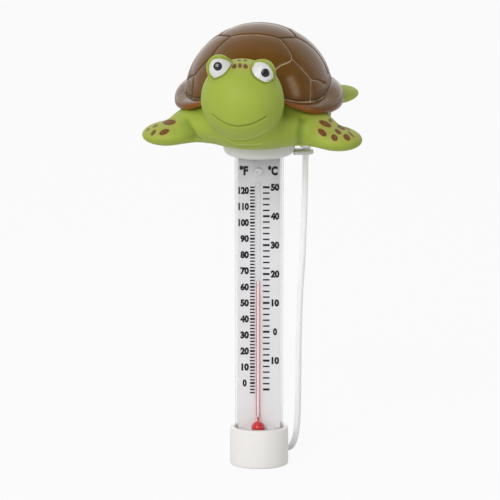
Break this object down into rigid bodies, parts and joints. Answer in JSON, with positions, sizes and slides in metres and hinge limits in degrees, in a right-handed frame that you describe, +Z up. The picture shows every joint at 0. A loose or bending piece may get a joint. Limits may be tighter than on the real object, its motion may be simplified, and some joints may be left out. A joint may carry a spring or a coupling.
{
  "type": "floating pool thermometer",
  "caption": "Floating pool thermometer: turtle float on a clear tube that holds a scale card and a red spirit thermometer, with a weighted cap and a tether.",
  "frame": {"origin": "centre of the base cap's flat underside", "axes": "+Z up along the tube, -Y the way the scale faces"},
  "size_m": [0.1051, 0.1439, 0.2156],
  "materials": {
    "cap_white": "moulded, slightly translucent white polyethylene",
    "ballast_steel": "plain turned steel disc",
    "seat_rubber": "soft pale foam rubber",
    "tube_clear": "clear glossy polystyrene",
    "collar_grey": "moulded, satin light grey",
    "card_plastic": "satin translucent sheet with a printed scale",
    "stem_glass": "clear drawn glass",
    "spirit_red": "red dyed spirit",
    "body_green": "matt soft vinyl, yellow-green with brown painted spots",
    "shell_brown": "glossy brown with engraved scutes",
    "eye_white": "gloss white",
    "pupil_black": "gloss black",
    "cord_white": "braided white nylon, 3 mm"
  },
  "bodies": {
    "thermometer": {"base_cap": "cap_white", "ballast_weight": "ballast_steel", "bulb_seat": "seat_rubber", "outer_tube": "tube_clear", "float_collar": "collar_grey", "scale_card": "card_plastic", "card_rivet": "card_plastic", "card_hanger": "cap_white", "glass_stem": "stem_glass", "spirit_bulb": "spirit_red", "spirit_column": "spirit_red", "tether_knot": "cord_white", "tether_cord": "cord_white", "tether_hank": "cord_white", "hank_tie": "cord_white"},
    "turtle_float": {"turtle_body": "body_green", "turtle_shell": "shell_brown", "eye_left": "eye_white", "eye_right": "eye_white", "pupil_left": "pupil_black", "pupil_right": "pupil_black"},
    "spirit_level": {"spirit_tip": "spirit_red"}
  },
  "joints": [
    {"name": "float_turn", "type": "hinge", "parent": "thermometer", "child": "turtle_float", "pos_m": [0, 0, 0.17], "axis": [0, 0, 1], "continuous": true},
    {"name": "column_rise", "type": "slide", "parent": "thermometer", "child": "spirit_level", "axis": [0, 0, 1], "range_m": [-0.054, 0.0455], "deforming": ["spirit_column"]}
  ]
}
